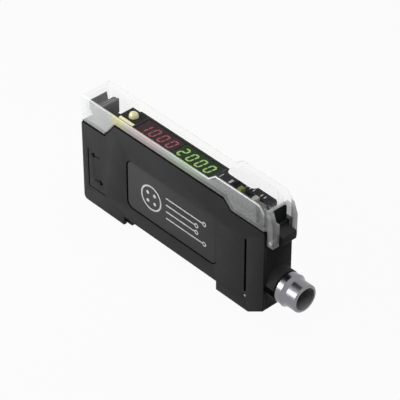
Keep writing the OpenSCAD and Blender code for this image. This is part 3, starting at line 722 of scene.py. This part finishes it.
def add_disc(name: str, centre: Vector, axis: Axis, radius: float, thickness: float, rim: float,
             hole: float = 0.0) -> Piece:
    """Models a flat disc, or a ring, with a softened rim.

    Args:
        name: Name of the piece.
        centre: Middle of the disc, in metres.
        axis: The axis across its thickness.
        radius: Its outer radius.
        thickness: Its thickness.
        rim: Radius of its rim.
        hole: Radius of the hole that makes it a ring, or 0.

    Returns:
        The disc.
    """
    turn = {Axis.X: (0, math.pi / 2, 0), Axis.Y: (math.pi / 2, 0, 0), Axis.Z: (0, 0, 0)}[axis]
    deselect_all()
    bpy.ops.mesh.primitive_cylinder_add(vertices=DISC_SIDES, radius=radius, depth=thickness,
                                        location=centre, rotation=turn)
    piece = settle(bpy.context.active_object, name)
    with editing(piece):
        pick_faces(piece, lambda face: abs(face.normal[axis.value]) > FACING)
        if hole > 0:
            bpy.ops.mesh.inset(thickness=radius - hole)
            bpy.ops.mesh.bridge_edge_loops()
            pick_edges(piece, lambda edge: not runs_along(edge, axis) and is_rim(edge, axis))
        else:
            bpy.ops.mesh.region_to_loop()
        bpy.ops.mesh.bevel(offset=rim, segments=RIM_STEPS, affect="EDGES")
    return settle(piece, name)


def is_rim(edge: bmesh.types.BMEdge, axis: Axis) -> bool:
    """Tells whether an edge divides a flat face from a wall along the axis."""
    if len(edge.link_faces) != 2:
        return False
    flats = [abs(face.normal[axis.value]) > STEEP for face in edge.link_faces]
    return flats[0] != flats[1]


def add_cross(name: str, centre: Vector, reach: float, width: float, thickness: float, arms: int) -> Piece:
    """Models a flat plus or minus sign that lies level.

    Args:
        name: Name of the piece.
        centre: Middle of its lower face, in metres.
        reach: Distance from the middle to an arm's end.
        width: Width of the arms.
        thickness: Height of the sign.
        arms: 2 for a minus along Y, 4 for a plus.

    Returns:
        The sign.
    """
    deselect_all()
    bpy.ops.mesh.primitive_plane_add(size=width, location=centre)
    piece = settle(bpy.context.active_object, name)
    directions = [Vector((0, 1, 0)), Vector((0, -1, 0)), Vector((1, 0, 0)), Vector((-1, 0, 0))][:arms]
    with editing(piece):
        for direction in directions:
            pick_edges(piece, lambda edge: lies_towards(edge, centre, direction, width / 2))
            bpy.ops.mesh.extrude_region_move(
                TRANSFORM_OT_translate={"value": direction * (reach - width / 2)})
        bpy.ops.mesh.select_all(action="SELECT")
        bpy.ops.mesh.extrude_region_move(TRANSFORM_OT_translate={"value": (0, 0, thickness)})
        bpy.ops.mesh.select_all(action="SELECT")
        bpy.ops.mesh.normals_make_consistent(inside=False)
        pick_faces(piece, lambda face: face.normal.z > FACING)
        bpy.ops.mesh.region_to_loop()
        bpy.ops.mesh.bevel(offset=thickness / 3, segments=RIM_STEPS, affect="EDGES")
    return settle(piece, name)


def lies_towards(edge: bmesh.types.BMEdge, centre: Vector, direction: Vector, distance: float) -> bool:
    """Tells whether an edge lies square to a direction, at a distance from a centre."""
    offsets = [(vert.co - centre).dot(direction) for vert in edge.verts]
    return all(abs(offset - distance) < MERGE_DISTANCE for offset in offsets)


def join(pieces: list[Piece], name: str) -> Piece:
    """Joins pieces of one finish into one piece."""
    activate(pieces[0])
    for piece in pieces:
        piece.select_set(True)
    bpy.ops.object.join()
    return settle(bpy.context.view_layer.objects.active, name)


class Assembly(ABC):
    """A sub-assembly that adds its new pieces and lays its finishes."""

    def build(self) -> None:
        """Adds the new pieces, if the sub-assembly has any."""

    @abstractmethod
    def dress(self) -> None:
        """Lays the finishes."""


@dataclass
class Housing(Assembly):
    """The charcoal case, its side cover and what is printed on it."""

    edge: float = 0.12 * MM
    print_t: float = 0.02 * MM
    ring_place: float = 0.27
    ring_r: float = 4.0 * MM
    ring_line: float = 0.5 * MM
    pin_ring: float = 1.9 * MM
    pin_r: float = 0.55 * MM
    line_w: float = 0.42 * MM
    line_reach: tuple[float, ...] = (14.0 * MM, 11.0 * MM, 11.0 * MM, 14.0 * MM)
    line_rows: tuple[float, ...] = (1.5, 0.5, -0.5, -1.5)
    row_share: float = 0.55
    start_share: float = 1.45
    terminal_r: float = 0.75 * MM
    seam_depth: float = 0.62 * MM
    groove_share: float = 1.1
    dot_share: float = 0.9
    dot_r: float = 0.32 * MM
    slot_back: float = 6.65 * MM
    dot_z: float = 4.8 * MM
    wall_low: tuple[float, float, float] = (28.9 * MM, -1.75 * MM, 29.2 * MM)
    wall_high: tuple[float, float, float] = (29.9 * MM, 3.0 * MM, 33.9 * MM)
    wall_corner: float = 0.3 * MM

    def build(self) -> None:
        """Rounds the mouldings and models the wiring mark, the index dot and the hinge's wall."""
        self.case = soft_copy("main_case", Body.HOUSING, self.edge)
        self.side = soft_copy("side_cover", Body.HOUSING, self.edge)
        self.label = soft_copy("side_label", Body.HOUSING, self.edge / 2)
        self.mark = mount(self.wiring_mark(), Body.HOUSING)
        low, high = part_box("side_cover")
        dot = Vector((high.x - self.slot_back, low.y + self.seam_depth / 2, self.dot_z))
        depth = self.seam_depth * self.dot_share
        disc = add_disc("index_dot", dot, Axis.Y, self.dot_r, depth, self.print_t)
        self.dot = mount(disc, Body.HOUSING)
        corners = Vector(self.wall_low), Vector(self.wall_high)
        self.wall = add_plate("hinge_wall", *corners, Axis.X, self.wall_corner, self.edge)
        mount(self.wall, Body.HOUSING)

    def takes_painted_shade(self, face: bmesh.types.BMFace) -> bool:
        """Tells whether a face belongs to a groove or the seam in one of the two sides, where the painted
        shade goes.
        """
        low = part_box("side_cover")[0]
        depths = [abs(vert.co.y) - abs(low.y) for vert in face.verts]
        middle = abs(face.calc_center_median().y) - abs(low.y)
        return min(depths) > -self.seam_depth and middle < -self.groove_share * self.edge

    def wiring_mark(self) -> Piece:
        """Models a plain pin-out ring with a line from each pin.

        Returns:
            The mark, as one printed piece on the label.
        """
        low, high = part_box("side_label")
        face_y = low.y
        thick, rim = self.print_t, self.print_t / 4
        ring_x = low.x + self.ring_place * (high.x - low.x)
        middle = Vector((ring_x, face_y - thick / 2, (low.z + high.z) / 2))
        hole = self.ring_r - self.ring_line
        parts = [add_disc("ring", middle, Axis.Y, self.ring_r, thick, rim, hole)]
        for quarter in range(4):
            turn = math.radians(45 + 90 * quarter)
            pin = middle + Vector((math.cos(turn), 0, math.sin(turn))) * self.pin_ring
            parts.append(add_disc("pin", pin, Axis.Y, self.pin_r, thick, rim))
        start = middle.x + self.ring_r * self.start_share
        for step, reach in zip(self.line_rows, self.line_reach):
            row = middle.z + step * self.ring_r * self.row_share
            stop = start + reach
            low_corner = Vector((start, face_y - thick, row - self.line_w / 2))
            high_corner = Vector((stop, face_y, row + self.line_w / 2))
            parts.append(add_plate("line", low_corner, high_corner, Axis.Y, 0, rim))
            end = Vector((stop + self.terminal_r, face_y - thick / 2, row))
            hole = self.terminal_r / 2
            parts.append(add_disc("terminal", end, Axis.Y, self.terminal_r, thick, rim, hole))
        return join(parts, "wiring_mark")

    def dress(self) -> None:
        """Lays the charcoal, with a painted shade in its grooves and seam, the label film and the white
        ink.
        """
        paint(self.case, CHARCOAL, SEAM_PAINTED_SHADE)
        paint(self.side, CHARCOAL_COVER, SEAM_PAINTED_SHADE)
        # The grooves and the seam of both sides get the painted shade.
        for shell in (self.case, self.side):
            accent(shell, self.takes_painted_shade)
        paint(self.label, LABEL_FILM)
        paint(self.mark, WHITE_INK)
        paint(self.dot, WHITE_INK)
        paint(self.wall, BLACK)
        paint_nodes({"hinge_pin": STEEL})


@dataclass
class DustCover(Assembly):
    """The clear hinged cover and the plain marking field on its hump."""

    edge: float = 0.16 * MM
    top_edge: float = 0.36 * MM
    field_start: float = 52.9 * MM
    field_len: float = 10.4 * MM
    field_w: float = 3.4 * MM
    field_t: float = 0.03 * MM
    field_corner: float = 1.6 * MM
    side_slack: float = 0.01 * MM
    up_facing: float = 0.2

    def build(self) -> None:
        """Rounds the cover's edges and lays the marking field on its hump."""
        low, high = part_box("dust_cover")
        self.shell = soft_copy("dust_cover", Body.COVER, self.edge, 3,
                               lambda edge: self.on_top(edge, low), self.top_edge)
        start = low.x + self.field_start
        near = Vector((start, -self.field_w / 2, high.z - self.field_t / 2))
        far = Vector((start + self.field_len, self.field_w / 2, high.z + self.field_t / 2))
        self.field = add_plate("marking_field", near, far, Axis.Z, self.field_corner, self.field_t / 4)
        mount(self.field, Body.COVER)

    def on_top(self, edge: bmesh.types.BMEdge, low: Vector) -> bool:
        """Tells whether an edge runs along the top of one of the cover's two outer sides."""
        sides = [abs(abs(vert.co.y) - abs(low.y)) < self.side_slack for vert in edge.verts]
        turned = [abs(face.normal.y) > FACING for face in edge.link_faces]
        up = any(face.normal.z > self.up_facing for face in edge.link_faces)
        return all(sides) and any(turned) and up and len(turned) == 2

    def dress(self) -> None:
        """Lays the clear plastic, with a painted highlight on its rounded upper side edges, and the pale
        ink.
        """
        paint(self.shell, CLEAR, CLEAR_PAINTED_HIGHLIGHT)
        paint(self.field, FIELD_INK)


@dataclass
class Panel(Assembly):
    """The control frame with its film, displays, lamps and small marks."""

    edge: float = 0.08 * MM
    mark_t: float = 0.02 * MM
    tick_start: float = 0.9 * MM
    tick_gap: float = 0.3 * MM
    tick_w: float = 0.3 * MM
    tick_len: float = 0.9 * MM
    dash_gap: float = 0.5 * MM
    dash_out: float = 0.1 * MM
    dash_len: float = 1.5 * MM
    dash_w: float = 0.5 * MM
    dash_corner: float = 0.12 * MM

    def build(self) -> None:
        """Rounds the frame, the lamp and the bar, and lays the ticks and the dash beside the keys."""
        self.frame = soft_copy("control_frame", Body.HOUSING, self.edge)
        self.film = soft_copy("panel_overlay", Body.HOUSING, self.edge)
        self.lamp = soft_copy("output_lamp", Body.HOUSING, self.edge / 2)
        self.bar = soft_copy("light_bar", Body.HOUSING, self.edge)
        self.ticks = mount(self.switch_ticks(), Body.HOUSING)
        self.dash = mount(self.output_dash(), Body.HOUSING)

    def switch_ticks(self) -> Piece:
        """Prints a tick beside each place of the two slide switches.

        Returns:
            The ticks, as one printed piece on the film.
        """
        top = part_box("panel_overlay")[1].z
        parts = []
        for node, joint, stops in (("mode_knob", "mode_slide", 3), ("output_knob", "output_slide", 2)):
            knob_low, knob_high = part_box(node)
            travel = travel_of(joint)
            for index in range(stops):
                middle = knob_low.x + self.tick_start + travel * index / (stops - 1)
                corner = Vector((middle - self.tick_w / 2, knob_high.y + self.tick_gap, top))
                end = corner + Vector((self.tick_w, self.tick_len, self.mark_t))
                parts.append(add_plate("tick", corner, end, Axis.Z, 0, self.mark_t / 4))
        return join(parts, "switch_ticks")

    def output_dash(self) -> Piece:
        """Lays a small yellow dash beside the output switch.

        Returns:
            The dash, on the film's near side.
        """
        knob_low, knob_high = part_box("output_knob")
        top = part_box("panel_overlay")[1].z
        corner = Vector((knob_high.x + self.dash_gap, knob_low.y - self.dash_out, top))
        end = corner + Vector((self.dash_len, self.dash_w, self.mark_t))
        return add_plate("output_dash", corner, end, Axis.Z, self.dash_corner, self.mark_t / 4)

    def dress(self) -> None:
        """Lays the black film, the display faces and the lights."""
        paint(self.frame, BLACK)
        paint(self.film, OVERLAY)
        paint(self.lamp, LAMP_LIGHT)
        paint(self.bar, BAR_LIGHT)
        paint(self.ticks, WHITE_INK)
        paint(self.dash, YELLOW_DASH_FINISH)
        paint_nodes({"red_display": RED_FACE, "green_display": GREEN_FACE, "red_segments": RED_LIGHT,
                     "green_segments": GREEN_LIGHT, "display_board": BOARD})


@dataclass
class Keys(Assembly):
    """The rocker key and the two slide switches."""

    edge: float = 0.1 * MM
    sign_reach: float = 0.75 * MM
    sign_w: float = 0.34 * MM
    sign_t: float = 0.03 * MM
    sign_sink: float = 0.16 * MM
    sign_place: float = 0.32

    def build(self) -> None:
        """Rounds the keys and prints a plus and a minus on the rocker."""
        self.rocker = soft_copy("rocker_key", Body.ROCKER, self.edge)
        self.mode = soft_copy("mode_knob", Body.MODE, self.edge)
        self.output = soft_copy("output_knob", Body.OUTPUT, self.edge)
        low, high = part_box("rocker_key")
        middle = (low + high) / 2
        lift = high.z - self.sign_sink
        reach = (high.x - low.x) * self.sign_place
        front = Vector((middle.x - reach, middle.y, lift))
        back = Vector((middle.x + reach, middle.y, lift))
        self.minus = add_cross("rocker_minus", front, self.sign_reach, self.sign_w, self.sign_t, 2)
        self.plus = add_cross("rocker_plus", back, self.sign_reach, self.sign_w, self.sign_t, 4)
        for sign in (self.minus, self.plus):
            mount(sign, Body.ROCKER)

    def dress(self) -> None:
        """Lays the key plastics and dresses the switch bodies."""
        paint(self.rocker, OVERLAY)
        paint(self.mode, YELLOW_KEY)
        paint(self.output, PALE_KEY)
        paint(self.plus, WHITE_INK)
        paint(self.minus, WHITE_INK)
        paint_nodes({"mode_switch": BLACK, "output_switch": BLACK, "rocker_pin": STEEL,
                     "rocker_contacts": STEEL})


@dataclass
class FibreClamp(Assembly):
    """The clamp lever, the block with the two fibre ports and what they hold."""

    edge: float = 0.14 * MM

    def build(self) -> None:
        """Rounds the lever and the block."""
        self.lever = soft_copy("clamp_lever", Body.LEVER, self.edge)
        self.block = soft_copy("fibre_block", Body.HOUSING, self.edge / 2)

    def dress(self) -> None:
        """Lays the finishes of the clamp and the ports."""
        paint(self.lever, LEVER_GREY)
        paint(self.block, BLACK)
        paint_nodes({"lever_pin": STEEL, "clamp_plate": STEEL, "plate_pin": STEEL, "port_seals": RUBBER,
                     "emitter_diode": DIODE_RED, "receiver_diode": BLACK})


@dataclass
class RailMount(Assembly):
    """The sprung clip that holds the rail."""

    edge: float = 0.12 * MM
    wire_edge: float = 0.02 * MM

    def build(self) -> None:
        """Rounds the clip and the spring, and gives the spring a mesh of its own."""
        self.clip = soft_copy("rail_clip", Body.CLIP, self.edge)
        self.spring = soft_copy("clip_spring", Body.HOUSING, self.wire_edge, 1)
        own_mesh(self.spring)

    def dress(self) -> None:
        """Lays the finishes of the clip and its spring."""
        paint(self.clip, BLACK)
        paint(self.spring, STEEL)


@dataclass
class Plug(Assembly):
    """The round connector on the end face."""

    edge: float = 0.14 * MM
    axis_z: float = 11.2 * MM
    lining_r: float = 3.35 * MM

    def in_socket(self, face: bmesh.types.BMFace) -> bool:
        """Tells whether a face is on the socket's wall."""
        middle = face.calc_center_median()
        return abs(face.normal.x) < STEEP and math.hypot(middle.y, middle.z - self.axis_z) < self.lining_r

    def build(self) -> None:
        """Rounds the plated shell, with straight normals along its barrel, and the insert."""
        self.shell = soft_copy("connector_shell", Body.HOUSING, self.edge, 3)
        straight = self.shell.modifiers.new("straight_normals", "WEIGHTED_NORMAL")
        straight.keep_sharp = True
        activate(self.shell)
        bpy.ops.object.modifier_apply(modifier=straight.name)
        self.insert = soft_copy("connector_insert", Body.HOUSING, self.edge / 2)

    def dress(self) -> None:
        """Lays the plating, the socket's dull lining, the insert's plastic and the seal's rubber."""
        paint(self.shell, NICKEL, LINING)
        accent(self.shell, self.in_socket)
        paint(self.insert, INSERT)
        paint_nodes({"contact_pins": GOLD, "connector_seal": RUBBER, "connector_nut": NICKEL})


@dataclass
class Electronics(Assembly):
    """The boards inside the case, whose CAD nodes stand as they are."""

    def dress(self) -> None:
        """Lays the board and chip finishes."""
        paint_nodes({"main_board": BOARD, "controller_chip": BLACK, "board_header": BLACK})


@dataclass
class Softbox:
    """A square area light that faces a point."""

    name: str
    place: Vector
    target: Vector
    size: float
    power: float
    in_gloss: bool = True
    in_diffuse: bool = True

    def add(self) -> None:
        """Adds the light."""
        deselect_all()
        bpy.ops.object.light_add(type="AREA", location=self.place)
        light = bpy.context.active_object
        light.name = self.name
        light.rotation_euler = (self.target - self.place).to_track_quat("-Z", "Y").to_euler()
        light.data.size = self.size
        light.data.energy = self.power
        light.visible_glossy = self.in_gloss
        light.visible_diffuse = self.in_diffuse


@dataclass
class Studio:
    """The pale floor, the white surround, the lights and the camera."""

    floor_size: float = 6.0
    floor_drop: float = 0.05 * MM
    floor_white: float = 0.95
    floor_color: Color = (0.3, 0.3, 0.3)
    floor_rough: float = 0.9
    ambient: float = 0.07
    lit_point: Vector = field(default_factory=lambda: Vector((0.0, 0.0, 20.0)) * MM)
    target: Vector = field(default_factory=lambda: Vector((1.182, 0.0, 20.435)) * MM)
    azimuth: float = 47.295
    elevation: float = 38.341
    distance: float = 558.04 * MM
    lens: float = 193.25
    sensor: float = 36.0
    clip_start: float = 10.0 * MM

    def build(self) -> None:
        """Adds the floor, the surround, the lights and the camera."""
        self.add_floor()
        self.add_surround()
        for softbox in self.softboxes():
            softbox.add()
        self.add_camera()

    def softboxes(self) -> tuple[Softbox, ...]:
        """Gives the lights, of which the last one only draws the bright streak on the plating."""
        goal = self.lit_point
        return (
            Softbox("key_softbox", Vector((-0.11, -0.10, 0.08)), goal, size=0.07, power=0.18),
            Softbox("top_softbox", Vector((0.08, 0.04, 0.45)), goal, size=0.4, power=1.5, in_gloss=False),
            Softbox("side_softbox", Vector((-0.172, -0.325, 0.11)), goal, size=0.1, power=0.24,
                    in_gloss=False),
            Softbox("streak_softbox", Vector((-0.194, -0.284, 0.18)), goal, size=0.2, power=0.56,
                    in_diffuse=False),
        )

    @staticmethod
    def white_rays(nodes: bpy.types.Nodes, links: bpy.types.NodeLinks) -> bpy.types.NodeSocket:
        """Adds a switch that is 1 for rays that see the background as it is.

        Args:
            nodes: Nodes of a material or the world.
            links: Their links.

        Returns:
            1 for camera, glossy and transmission rays, and 0 for the light that falls on surfaces.
        """
        path = nodes.new("ShaderNodeLightPath")
        seen = path.outputs["Is Camera Ray"]
        for kind in ("Is Glossy Ray", "Is Transmission Ray"):
            larger = nodes.new("ShaderNodeMath")
            larger.operation = "MAXIMUM"
            links.new(seen, larger.inputs[0])
            links.new(path.outputs[kind], larger.inputs[1])
            seen = larger.outputs[0]
        return seen

    def add_floor(self) -> None:
        """Adds a plain pale floor that keeps the object's shadow."""
        deselect_all()
        low = CAD_BOX[0].z - self.floor_drop
        bpy.ops.mesh.primitive_plane_add(size=self.floor_size, location=(0, 0, low))
        floor = settle(bpy.context.active_object, "studio_floor")
        material = bpy.data.materials.new("pale_floor")
        material.use_nodes = True
        nodes, links = material.node_tree.nodes, material.node_tree.links
        shader = nodes["Principled BSDF"]
        shader.inputs["Base Color"].default_value = (*self.floor_color, 1)
        shader.inputs["Roughness"].default_value = self.floor_rough
        glow = nodes.new("ShaderNodeEmission")
        share = nodes.new("ShaderNodeMath")
        share.operation = "MULTIPLY"
        share.inputs[1].default_value = self.floor_white
        links.new(self.white_rays(nodes, links), share.inputs[0])
        blend = nodes.new("ShaderNodeMixShader")
        links.new(share.outputs[0], blend.inputs["Fac"])
        links.new(shader.outputs["BSDF"], blend.inputs[1])
        links.new(glow.outputs["Emission"], blend.inputs[2])
        links.new(blend.outputs["Shader"], nodes["Material Output"].inputs["Surface"])
        floor.data.materials.append(material)

    def add_surround(self) -> None:
        """Adds a surround that looks white and lights the object softly."""
        world = bpy.data.worlds.new("white_surround")
        bpy.context.scene.world = world
        world.use_nodes = True
        nodes, links = world.node_tree.nodes, world.node_tree.links
        soft = nodes["Background"]
        soft.inputs["Color"].default_value = (1, 1, 1, 1)
        soft.inputs["Strength"].default_value = self.ambient
        white = nodes.new("ShaderNodeBackground")
        white.inputs["Color"].default_value = (1, 1, 1, 1)
        white.inputs["Strength"].default_value = 1.0
        blend = nodes.new("ShaderNodeMixShader")
        links.new(self.white_rays(nodes, links), blend.inputs["Fac"])
        links.new(soft.outputs["Background"], blend.inputs[1])
        links.new(white.outputs["Background"], blend.inputs[2])
        links.new(blend.outputs["Shader"], nodes["World Output"].inputs["Surface"])

    def add_camera(self) -> None:
        """Adds the camera at the photograph's viewing angle."""
        turn, lift = math.radians(self.azimuth), math.radians(self.elevation)
        back = Vector((math.sin(turn) * math.cos(lift), -math.cos(turn) * math.cos(lift), math.sin(lift)))
        data = bpy.data.cameras.new("photo_camera")
        data.lens = self.lens
        data.sensor_width = self.sensor
        data.clip_start = self.clip_start
        camera = bpy.data.objects.new("photo_camera", data)
        bpy.context.scene.collection.objects.link(camera)
        camera.location = self.target + back * self.distance
        camera.rotation_euler = (-back).to_track_quat("-Z", "Y").to_euler()
        bpy.context.scene.camera = camera
        bpy.context.scene.view_settings.view_transform = "Standard"


def main() -> None:
    """Builds and dresses each sub-assembly, then the studio."""
    logging.basicConfig(level=logging.INFO, format="%(name)s: %(message)s")
    Studio().build()
    assemblies: tuple[Assembly, ...] = (Housing(), DustCover(), Panel(), Keys(), FibreClamp(), RailMount(),
                                        Plug(), Electronics())
    for assembly in assemblies:
        assembly.build()
        assembly.dress()
        LOG.info("%s done", type(assembly).__name__)


if __name__ == "__main__":
    main()
